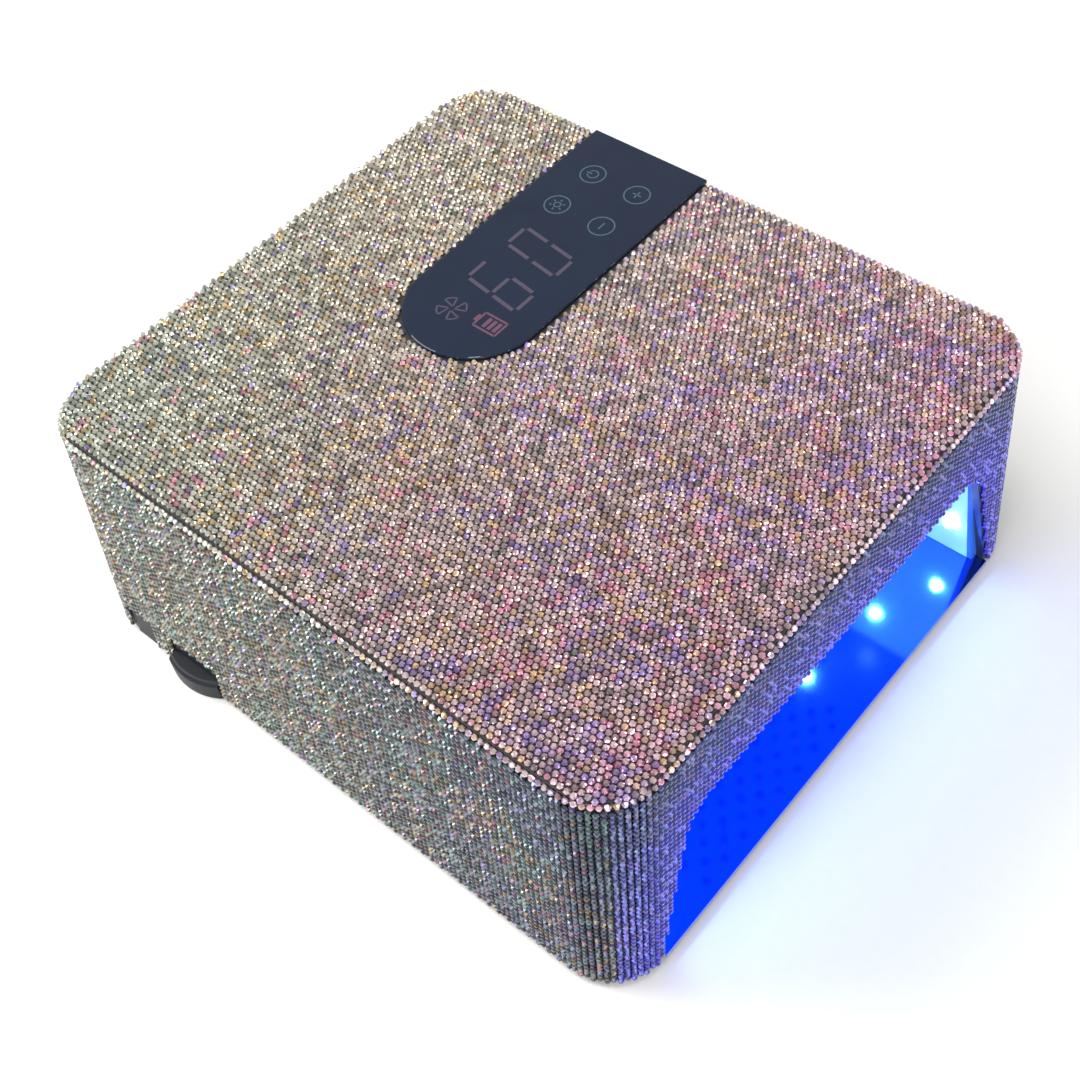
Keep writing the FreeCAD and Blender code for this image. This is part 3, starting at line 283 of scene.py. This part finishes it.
def wall_stones():
    """Upright columns of stones on the four flared walls, clear of the opening, grips, grille and socket."""
    height = WALL_TOP - WALL_BASE
    film = CROWN + GLUE
    low = ring_path(BASE_HALF.x - film, BASE_HALF.y - film, CORNER - film, ROW * 1.03)
    straight_x = (TOP_HALF.x - CORNER) / (BASE_HALF.x - CORNER)
    straight_y = (TOP_HALF.y - CORNER) / (BASE_HALF.y - CORNER)
    # The same place on the upper outline: straight stretches shrink, corners keep their radius.
    centre = np.c_[np.clip(low[:, 0], -(BASE_HALF.x - CORNER), BASE_HALF.x - CORNER),
                   np.clip(low[:, 1], -(BASE_HALF.y - CORNER), BASE_HALF.y - CORNER)]
    offset = low[:, :2] - centre
    high = centre * np.array((straight_x, straight_y)) + offset
    levels = np.arange(WALL_BASE + STONE_RADIUS, WALL_TOP - STONE_RADIUS * 0.8, PITCH)
    centres, normals, tangents = [], [], []
    for number in range(len(low)):
        column = levels + (PITCH / 2 if number % 2 else 0)
        column = column[column < WALL_TOP - STONE_RADIUS * 0.8]
        share = ((column - WALL_BASE) / height)[:, None]
        flat = low[number, :2] * (1 - share) + high[number] * share
        centres.append(np.c_[flat, column])
        climb = np.array((*(high[number] - low[number, :2]), height))
        heading = np.array((*low[number, 4:6], 0.0))
        outward = np.cross(heading, climb)
        outward /= np.linalg.norm(outward)
        normals.append(np.tile(outward, (len(column), 1)))
        tangents.append(np.tile(climb, (len(column), 1)))
    centres = np.concatenate(centres)
    normals = np.concatenate(normals)
    tangents = np.concatenate(tangents)
    x, y, z = centres.T
    half_opening = OPENING_BASE + (OPENING_TOP - OPENING_BASE) * z / OPENING_HEIGHT
    beyond_x = np.abs(x) - half_opening + OPENING_CORNER
    beyond_z = z - OPENING_HEIGHT + OPENING_CORNER
    rounded = (beyond_x > 0) & (beyond_z > 0) & (np.hypot(beyond_x, beyond_z) > OPENING_CORNER)
    in_opening = (y < 0) & (np.abs(normals[:, 1]) > 0.9) & (np.abs(x) < half_opening + CLEAR)
    in_opening &= (z < OPENING_HEIGHT + CLEAR) & ~rounded
    in_pads = (y < GRIP_BRIDGE[0] + CLEAR) | (y > GRIP_BRIDGE[1] - CLEAR)
    in_notch = (y > grip_low.y - CLEAR) & (y < grip_high.y + CLEAR) & (z < grip_high.z + CLEAR) & in_pads
    in_notch &= np.abs(normals[:, 0]) > 0.5
    in_grille = (y > 0) & (np.abs(x) < GRILLE_HALF + CLEAR)
    in_grille &= (z > grille_low.z - CLEAR) & (z < grille_high.z + CLEAR)
    socket_x = (socket_low.x + socket_high.x) / 2
    socket_z = (socket_low.z + socket_high.z) / 2
    in_socket = (y > 0) & (np.hypot(x - socket_x, z - socket_z) < SOCKET_RADIUS + CLEAR)
    keep = ~(in_opening | in_notch | in_grille | in_socket)
    centres, normals, tangents = centres[keep], normals[keep], tangents[keep]

    facing = {"left": normals[:, 0] < -DIAGONAL, "right": normals[:, 0] > DIAGONAL}
    facing["front"] = (normals[:, 1] < 0) & ~facing["left"] & ~facing["right"]
    facing["rear"] = (normals[:, 1] >= 0) & ~facing["left"] & ~facing["right"]
    for side, chosen in facing.items():
        spots = centres[chosen]
        # Wall stone tints hold painted shade: darker than the cover's, darkest and bluest on the front wall.
        tints = stone_tints(spots, SHADED_WALL_GREY, FRONT_WALL_SHADE_BLUE, SHADED_WALL_ACCENTS)
        if side == "front":
            # The front wall gets more painted shade, and painted blue light from the cavity near the
            # opening.
            tints = mixed(tints, FRONT_WALL_SHADE_BLUE, np.full(len(spots), 0.5))
            tints = mixed(tints, GLOW_BLUE, glow_share(spots))
        stone_field(f"{side}_wall_stones", spots, normals[chosen], tangents[chosen], tints, "lamp",
                    "side_stone_sheet")


def glow_share(points):
    """How strongly the light from the cavity colours the stones of the front wall."""
    half_opening = OPENING_BASE + (OPENING_TOP - OPENING_BASE) * points[:, 2] / OPENING_HEIGHT
    sideways = np.maximum(np.abs(points[:, 0]) - half_opening, 0)
    above = np.maximum(points[:, 2] - OPENING_HEIGHT, 0)
    distance = np.hypot(sideways, above)
    return np.clip(0.85 - distance / GLOW_REACH, 0.15, 0.85) * rng.uniform(0.6, 1.1, len(points))


# ---------------------------------------------------------------- materials

materials = {}


def new_material(name, base, roughness, metallic=0.0, spread=0.12, grain=900.0, bump=0.05, bump_scale=1500.0,
                 coat=0.0, coat_roughness=0.03, specular=0.5, emission=None, strength=0.0):
    """Moulded or metal surface: colour drifts a little, roughness too, and a fine bump."""
    material = bpy.data.materials.new(name)
    material.use_nodes = True
    tree = material.node_tree
    shader = tree.nodes["Principled BSDF"]
    place = tree.nodes.new("ShaderNodeTexCoord")
    drift = tree.nodes.new("ShaderNodeTexNoise")
    drift.inputs["Scale"].default_value = grain
    drift.inputs["Detail"].default_value = 4
    tree.links.new(place.outputs["Object"], drift.inputs["Vector"])
    ramp = tree.nodes.new("ShaderNodeValToRGB")
    ramp.color_ramp.elements[0].position = 0.3
    ramp.color_ramp.elements[1].position = 0.7
    ramp.color_ramp.elements[0].color = (*[channel * (1 - spread) for channel in base], 1)
    ramp.color_ramp.elements[1].color = (*[min(1, channel * (1 + spread)) for channel in base], 1)
    tree.links.new(drift.outputs["Fac"], ramp.inputs["Fac"])
    tree.links.new(ramp.outputs["Color"], shader.inputs["Base Color"])
    rough = tree.nodes.new("ShaderNodeMapRange")
    rough.inputs["To Min"].default_value = max(0.02, roughness * 0.8)
    rough.inputs["To Max"].default_value = min(1.0, roughness * 1.25)
    tree.links.new(drift.outputs["Fac"], rough.inputs["Value"])
    tree.links.new(rough.outputs["Result"], shader.inputs["Roughness"])
    fine = tree.nodes.new("ShaderNodeTexNoise")
    fine.inputs["Scale"].default_value = bump_scale
    tree.links.new(place.outputs["Object"], fine.inputs["Vector"])
    relief = tree.nodes.new("ShaderNodeBump")
    relief.inputs["Strength"].default_value = bump
    relief.inputs["Distance"].default_value = 0.0002
    tree.links.new(fine.outputs["Fac"], relief.inputs["Height"])
    tree.links.new(relief.outputs["Normal"], shader.inputs["Normal"])
    shader.inputs["Metallic"].default_value = metallic
    shader.inputs["Coat Weight"].default_value = coat
    shader.inputs["Coat Roughness"].default_value = coat_roughness
    shader.inputs["Specular IOR Level"].default_value = specular
    if emission is not None:
        shader.inputs["Emission Color"].default_value = (*emission, 1)
        shader.inputs["Emission Strength"].default_value = strength
    materials[name] = material
    return material


def stone_material():
    """Foil-backed glass: each stone's tint, which on the walls holds painted shade and light, hard facets
    and a clear coat.
    """
    material = bpy.data.materials.new("stones")
    material.use_nodes = True
    tree = material.node_tree
    shader = tree.nodes["Principled BSDF"]
    tint = tree.nodes.new("ShaderNodeAttribute")
    tint.attribute_name = "stone_tint"
    place = tree.nodes.new("ShaderNodeTexCoord")
    flecks = tree.nodes.new("ShaderNodeTexNoise")
    flecks.inputs["Scale"].default_value = 1400
    tree.links.new(place.outputs["Object"], flecks.inputs["Vector"])
    spread = tree.nodes.new("ShaderNodeMapRange")
    spread.inputs["To Min"].default_value = 0.75
    spread.inputs["To Max"].default_value = 1.2
    tree.links.new(flecks.outputs["Fac"], spread.inputs["Value"])
    colour = tree.nodes.new("ShaderNodeVectorMath")
    colour.operation = "SCALE"
    tree.links.new(tint.outputs["Color"], colour.inputs[0])
    tree.links.new(spread.outputs["Result"], colour.inputs["Scale"])
    tree.links.new(colour.outputs["Vector"], shader.inputs["Base Color"])
    shader.inputs["Metallic"].default_value = 0.75
    shader.inputs["Roughness"].default_value = 0.16
    shader.inputs["Coat Weight"].default_value = 0.4
    shader.inputs["Coat Roughness"].default_value = 0.05
    materials["stones"] = material


# Painted blue LED light and glow for white plastic: deep blue for the ceiling, where less light falls, paler
# for the walls.
CEILING_BLUE_LIGHT = (0.015, 0.075, 0.75)
CEILING_GLOW = (0.0, 0.15, 0.95)
WALL_GLOW = (0.13, 0.42, 0.80)


def liner_plastic():
    """White plastic with the light of the LEDs painted in, as colour and as a glow though it is no lamp:
    pale on the walls, and deep blue on the ceiling.
    """
    material = new_material("liner_plastic", (0.45, 0.66, 0.90), 0.3, spread=0.05, emission=CEILING_GLOW,
                            strength=0.8)
    tree = material.node_tree
    shader = tree.nodes["Principled BSDF"]
    liner = nodes["reflector_liner"]
    ceiling = (liner.matrix_world.inverted() @ Vector((0, 0, OPENING_HEIGHT + 1 * MM))).z
    place = tree.nodes.new("ShaderNodeTexCoord")
    parts = tree.nodes.new("ShaderNodeSeparateXYZ")
    tree.links.new(place.outputs["Object"], parts.inputs["Vector"])
    height = tree.nodes.new("ShaderNodeMapRange")
    height.inputs["From Min"].default_value = ceiling - 1 * MM
    height.inputs["From Max"].default_value = ceiling
    tree.links.new(parts.outputs["Z"], height.inputs["Value"])
    for socket, wall, above in (("Base Color", None, CEILING_BLUE_LIGHT),
                                ("Emission Color", WALL_GLOW, CEILING_GLOW)):
        mix = tree.nodes.new("ShaderNodeMix")
        mix.data_type = "RGBA"
        tree.links.new(height.outputs["Result"], mix.inputs["Factor"])
        # Of its sockets, 6 and 7 are the two colours, and output 2 is the mixed one.
        mix.inputs[7].default_value = (*above, 1)
        if wall is None:
            tree.links.new(shader.inputs[socket].links[0].from_socket, mix.inputs[6])
        else:
            mix.inputs[6].default_value = (*wall, 1)
        tree.links.new(mix.outputs[2], shader.inputs[socket])


stone_material()
new_material("case_plastic", (0.035, 0.031, 0.03), 0.35, coat=0.2)
# The opening trim's dark blue is painted shade with blue LED light, and its glow is painted light; the trim
# is no lamp.
new_material("trim_plastic", (0.02, 0.06, 0.25), 0.4, emission=(0.02, 0.16, 0.85), strength=0.5)
new_material("grip_plastic", (0.010, 0.013, 0.018), 0.45, specular=0.3)
liner_plastic()
# The vent plate carries the ceiling's painted blue light and glow; it is no lamp.
new_material("vent_plastic", CEILING_BLUE_LIGHT, 0.35, spread=0.05, emission=CEILING_GLOW, strength=0.8)
# The steel tray's blue tint is a painted reflection of the blue LED light.
new_material("mirror_steel", (0.05, 0.20, 0.90), 0.10, metallic=1.0, spread=0.04, bump=0.01, coat=1.0,
             coat_roughness=0.07)
# The fan's faint blue glow is painted LED light; the fan is no lamp.
new_material("fan_plastic", (0.03, 0.05, 0.09), 0.4, emission=(0.0, 0.10, 0.62), strength=0.2)
new_material("foot_rubber", (0.02, 0.02, 0.02), 0.8, bump=0.3)
new_material("zinc", (0.55, 0.55, 0.57), 0.3, metallic=1.0)
new_material("brass", (0.72, 0.53, 0.22), 0.25, metallic=1.0)
new_material("nickel", (0.66, 0.65, 0.62), 0.22, metallic=1.0)
new_material("white_board", (0.75, 0.77, 0.78), 0.4)
new_material("green_board", (0.03, 0.18, 0.08), 0.35, grain=400)
new_material("board_parts", (0.04, 0.04, 0.045), 0.45, spread=0.5, grain=120)
new_material("black_plastic", (0.02, 0.02, 0.022), 0.45)
new_material("cell_wrap", (0.04, 0.2, 0.5), 0.3)
new_material("led_lens", (0.8, 0.9, 1.0), 0.1, emission=(0.5, 0.84, 1.0), strength=45.0)
new_material("sensor_lens", (0.03, 0.01, 0.04), 0.15)

CAD_FINISH = {
    "case_plastic": ["side_shell", "top_cover"],
    "trim_plastic": ["opening_trim"],
    "black_plastic": ["chassis_frame", "rear_vent_grille", "battery_holder", "digit_module"],
    "fan_plastic": ["fan_frame", "fan_rotor"],
    "grip_plastic": ["left_finger_grip", "right_finger_grip"],
    "liner_plastic": ["reflector_liner"],
    "vent_plastic": ["vent_plate"],
    "mirror_steel": ["base_tray"],
    "foot_rubber": ["rubber_feet"],
    "zinc": ["case_screws", "fan_screws", "board_screws", "display_screws"],
    "brass": ["board_standoffs"],
    "nickel": ["tray_magnets", "touch_springs", "dc_socket"],
    "white_board": ["left_led_board", "right_led_board", "rear_led_board", "ceiling_led_board"],
    "green_board": ["main_board", "display_board", "protection_board"],
    "board_parts": ["main_board_parts", "buzzer"],
    "cell_wrap": ["battery_cells"],
    "led_lens": ["left_leds", "right_leds", "rear_leds", "ceiling_leds"],
    "sensor_lens": ["hand_sensors"],
}
for finish, names in CAD_FINISH.items():
    for name in names:
        slots = nodes[name].data.materials
        slots.clear()
        slots.append(materials[finish])

# ---------------------------------------------------------------- touch panel

new_material("panel_glass", (0.010, 0.018, 0.040), 0.07, spread=0.1, grain=60, bump=0.01, specular=0.36)
new_material("key_print", (0.06, 0.11, 0.14), 0.3, emission=(0.2, 0.42, 0.5), strength=0.03)
new_material("digit_print", (0.065, 0.055, 0.085), 0.3, emission=(0.35, 0.25, 0.38), strength=0.04)
new_material("battery_print", (0.12, 0.055, 0.09), 0.3, emission=(0.6, 0.25, 0.36), strength=0.05)


def mesh_piece(name, vertices, faces, material, node=None):
    """A piece on the lamp from vertices and faces."""
    mesh = bpy.data.meshes.new(name)
    mesh.from_pydata([tuple(v) for v in vertices], [], faces)
    mesh.update()
    mesh.materials.append(materials[material])
    piece = bpy.data.objects.new(name, mesh)
    bpy.context.scene.collection.objects.link(piece)
    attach(piece, "lamp")
    if node:
        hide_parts(node)


def prisms(name, outlines, low, high, material):
    """Flat printed shapes, each an outline raised from low to high."""
    vertices, faces = [], []
    for outline in outlines:
        start = len(vertices)
        count = len(outline)
        vertices += [(x, y, low) for x, y in outline] + [(x, y, high) for x, y in outline]
        faces.append(tuple(start + count + i for i in range(count)))
        faces.append(tuple(start + i for i in reversed(range(count))))
        for i in range(count):
            after = (i + 1) % count
            faces.append((start + i, start + after, start + count + after, start + count + i))
    mesh_piece(name, vertices, faces, material)


def stroke(points, width, closed=False):
    """Quads along a line of points."""
    outlines = []
    count = len(points) if closed else len(points) - 1
    for i in range(count):
        a = Vector(points[i])
        b = Vector(points[(i + 1) % len(points)])
        along = (b - a).normalized()
        side = Vector((-along.y, along.x)) * width / 2
        outlines.append([a - side, b - side, b + side, a + side])
    return outlines


def arc_points(x, y, radius, start, end, steps):
    angles = [math.radians(start + (end - start) * i / steps) for i in range(steps + 1)]
    return [(x + radius * math.cos(angle), y + radius * math.sin(angle)) for angle in angles]


PANEL_TOP = window_high.z - 0.1 * MM     # the glass ends just inside the CAD window
PRINT_TOP = window_high.z - 0.03 * MM    # the prints stand a little above the glass
BEVEL = 0.5 * MM
ROUND_STEPS = 40


def panel():
    """The smoked panel: round at one end, with its edge eased."""
    half = (window_high.y - window_low.y) / 2
    middle = (window_high.y + window_low.y) / 2
    centre_x = window_low.x + half
    rings = []
    for inset, height in ((0, window_low.z), (0, PANEL_TOP - BEVEL), (BEVEL * 0.3, PANEL_TOP - BEVEL * 0.3),
                          (BEVEL, PANEL_TOP)):
        end_x = window_high.x - inset * 0.2
        ring = [(end_x, middle - half + inset), (end_x, middle + half - inset)]
        ring += arc_points(centre_x, middle, half - inset, 90, 270, ROUND_STEPS)
        rings.append([(x, y, height) for x, y in ring])
    count = len(rings[0])
    vertices = [point for ring in rings for point in ring]
    faces = [tuple(reversed(range(count))), tuple(range(count * 3, count * 4))]
    for level in range(3):
        for i in range(count):
            after = (i + 1) % count
            faces.append((level * count + i, level * count + after, (level + 1) * count + after,
                          (level + 1) * count + i))
    mesh_piece("touch_panel", vertices, faces, "panel_glass", "display_window")


KEYS = [(72.4 * MM, 28 * MM), (72.4 * MM, 49 * MM), (93.4 * MM, 28 * MM), (93.4 * MM, 49 * MM)]
KEY_RADIUS = 4.9 * MM
LINE = 0.55 * MM
BAR = 1.9 * MM            # half the length of the bars of plus and minus


def key_prints():
    """Four rings with plain signs in them: power, plus, minus, and a lamp with six rays."""
    outlines = []
    for x, y in KEYS:
        outlines += stroke(arc_points(x, y, KEY_RADIUS, 0, 360, ROUND_STEPS)[:-1], LINE, closed=True)
    x, y = KEYS[3]
    outlines += stroke(arc_points(x, y, 2.1 * MM, 115, 425, 20), LINE)
    outlines += stroke([(x, y + 0.4 * MM), (x, y + 2.9 * MM)], LINE)
    x, y = KEYS[2]
    outlines += stroke([(x - BAR, y), (x + BAR, y)], LINE)
    outlines += stroke([(x, y - BAR), (x, y + BAR)], LINE)
    x, y = KEYS[0]
    outlines += stroke([(x - BAR, y), (x + BAR, y)], LINE)
    x, y = KEYS[1]
    outlines += stroke(arc_points(x, y, 1.3 * MM, 0, 360, 16)[:-1], LINE, closed=True)
    for number in range(6):
        angle = number * math.pi / 3
        ray = [(x + 2.1 * MM * math.cos(angle), y + 2.1 * MM * math.sin(angle)),
               (x + 3.1 * MM * math.cos(angle), y + 3.1 * MM * math.sin(angle))]
        outlines += stroke(ray, LINE)
    prisms("key_prints", outlines, PANEL_TOP, PRINT_TOP, "key_print")


# The seven segments of a digit: across in half widths of it, and up in quarters of its height.
SEGMENTS = {"a": ((-1, 2), (1, 2)), "b": ((1, 2), (1, 0)), "c": ((1, 0), (1, -2)), "d": ((-1, -2), (1, -2)),
            "e": ((-1, 0), (-1, -2)), "f": ((-1, 2), (-1, 0)), "g": ((-1, 0), (1, 0))}
DIGITS = {"6": "acdefg", "0": "abcdef"}
DIGIT_PLACES = (("6", 27.5 * MM), ("0", 49 * MM))
DIGIT_Y = 37.5 * MM
HALF_WIDTH = 5.4 * MM
QUARTER_HEIGHT = 6.4 * MM
LEAN = 0.9 * MM           # sideways shift for each quarter of the height
SEGMENT_WIDTH = 1.5 * MM
SEGMENT_GAP = 1.2 * MM    # left free at each end


def digit_prints():
    """A countdown of 60 in seven-segment digits, leaning a little."""
    outlines = []
    for text, x in DIGIT_PLACES:
        for name in DIGITS[text]:
            ends = [Vector((x + u * HALF_WIDTH + v * LEAN, DIGIT_Y + v * QUARTER_HEIGHT))
                    for u, v in SEGMENTS[name]]
            along = (ends[1] - ends[0]).normalized() * SEGMENT_GAP
            outlines += stroke([ends[0] + along, ends[1] - along], SEGMENT_WIDTH)
    prisms("digit_prints", outlines, PANEL_TOP, PRINT_TOP, "digit_print")


def icon_prints():
    """A battery and a fan sign at the panel's round end."""
    x, y = 10.6 * MM, 28.0 * MM
    half_width, rear, front = 3.6 * MM, 4.6 * MM, 5.4 * MM
    shell = [(x - half_width, y - front), (x + half_width, y - front), (x + half_width, y + rear),
             (x - half_width, y + rear)]
    battery = stroke(shell, LINE * 1.5, closed=True)
    battery += stroke([(x - 1.6 * MM, y + 5.6 * MM), (x + 1.6 * MM, y + 5.6 * MM)], 1.3 * MM)
    for level in (-3.6, -1.3, 1.0):
        battery += stroke([(x - 2.4 * MM, y + level * MM), (x + 2.4 * MM, y + level * MM)], 1.5 * MM)
    prisms("battery_print", battery, PANEL_TOP, PRINT_TOP, "battery_print")
    x, y = 8.6 * MM, 44.0 * MM
    blades = []
    for number in range(4):
        turn = number * 90 + 20
        tip = arc_points(x, y, 5.4 * MM, turn, turn + 48, 4)
        root = [(x + 1.0 * MM * math.cos(math.radians(turn)), y + 1.0 * MM * math.sin(math.radians(turn)))]
        blades += stroke(root + tip + root, LINE * 1.2)
    prisms("fan_print", blades, PANEL_TOP, PRINT_TOP, "digit_print")


panel()
key_prints()
digit_prints()
icon_prints()
top_stones()
wall_stones()

# ---------------------------------------------------------------- floor, light and camera


def floor():
    material = new_material("floor", (0.94, 0.925, 0.895), 0.6, spread=0.01, grain=3)
    bpy.ops.mesh.primitive_plane_add(size=8, location=(0, 0, 0))
    plane = bpy.context.object
    plane.name = "floor"
    plane.data.materials.append(material)


def area_light(name, location, target, size, power, colour=(1, 1, 1)):
    data = bpy.data.lights.new(name, "AREA")
    data.size = size
    data.energy = power
    data.color = colour
    lamp = bpy.data.objects.new(name, data)
    lamp.location = location
    aim = Vector(target) - Vector(location)
    lamp.rotation_euler = aim.to_track_quat("-Z", "Y").to_euler()
    bpy.context.scene.collection.objects.link(lamp)


def lights():
    middle = (0, 0, 0.05)
    area_light("key", (-0.5, 1.0, 1.2), middle, 0.8, 17)
    area_light("fill", (-1.3, -0.2, 1.0), middle, 0.9, 7)
    area_light("front", (0.3, -1.4, 1.0), middle, 0.9, 6)
    area_light("strip", (-0.25, 0.0, 1.5), middle, 0.35, 4)
    world = bpy.data.worlds.new("studio")
    world.use_nodes = True
    back = world.node_tree.nodes["Background"]
    back.inputs["Color"].default_value = (0.95, 0.97, 1.0, 1)
    back.inputs["Strength"].default_value = 0.55
    bpy.context.scene.world = world


CAMERA_PLACE = Vector((-0.2463, -0.2536, 0.4743))
CAMERA_AZIMUTH = math.radians(-43.47)
CAMERA_ELEVATION = math.radians(52.14)
CAMERA_ROLL = math.radians(-7.76)


def camera():
    """Above the left front corner, looking down, with a slight roll."""
    flat = math.cos(CAMERA_ELEVATION)
    back = Vector((math.sin(CAMERA_AZIMUTH) * flat, -math.cos(CAMERA_AZIMUTH) * flat,
                   math.sin(CAMERA_ELEVATION)))
    level = Vector((math.cos(CAMERA_AZIMUTH), math.sin(CAMERA_AZIMUTH), 0))
    upright = back.cross(level)
    right = level * math.cos(CAMERA_ROLL) + upright * math.sin(CAMERA_ROLL)
    up = back.cross(right)
    data = bpy.data.cameras.new("camera")
    data.sensor_width = 36
    data.lens = 50.2
    data.clip_start = 0.01
    eye = bpy.data.objects.new("camera", data)
    eye.matrix_world = Matrix.Translation(CAMERA_PLACE) @ Matrix((right, up, back)).transposed().to_4x4()
    bpy.context.scene.collection.objects.link(eye)
    bpy.context.scene.camera = eye


floor()
lights()
camera()
bpy.context.scene.view_settings.view_transform = "Standard"
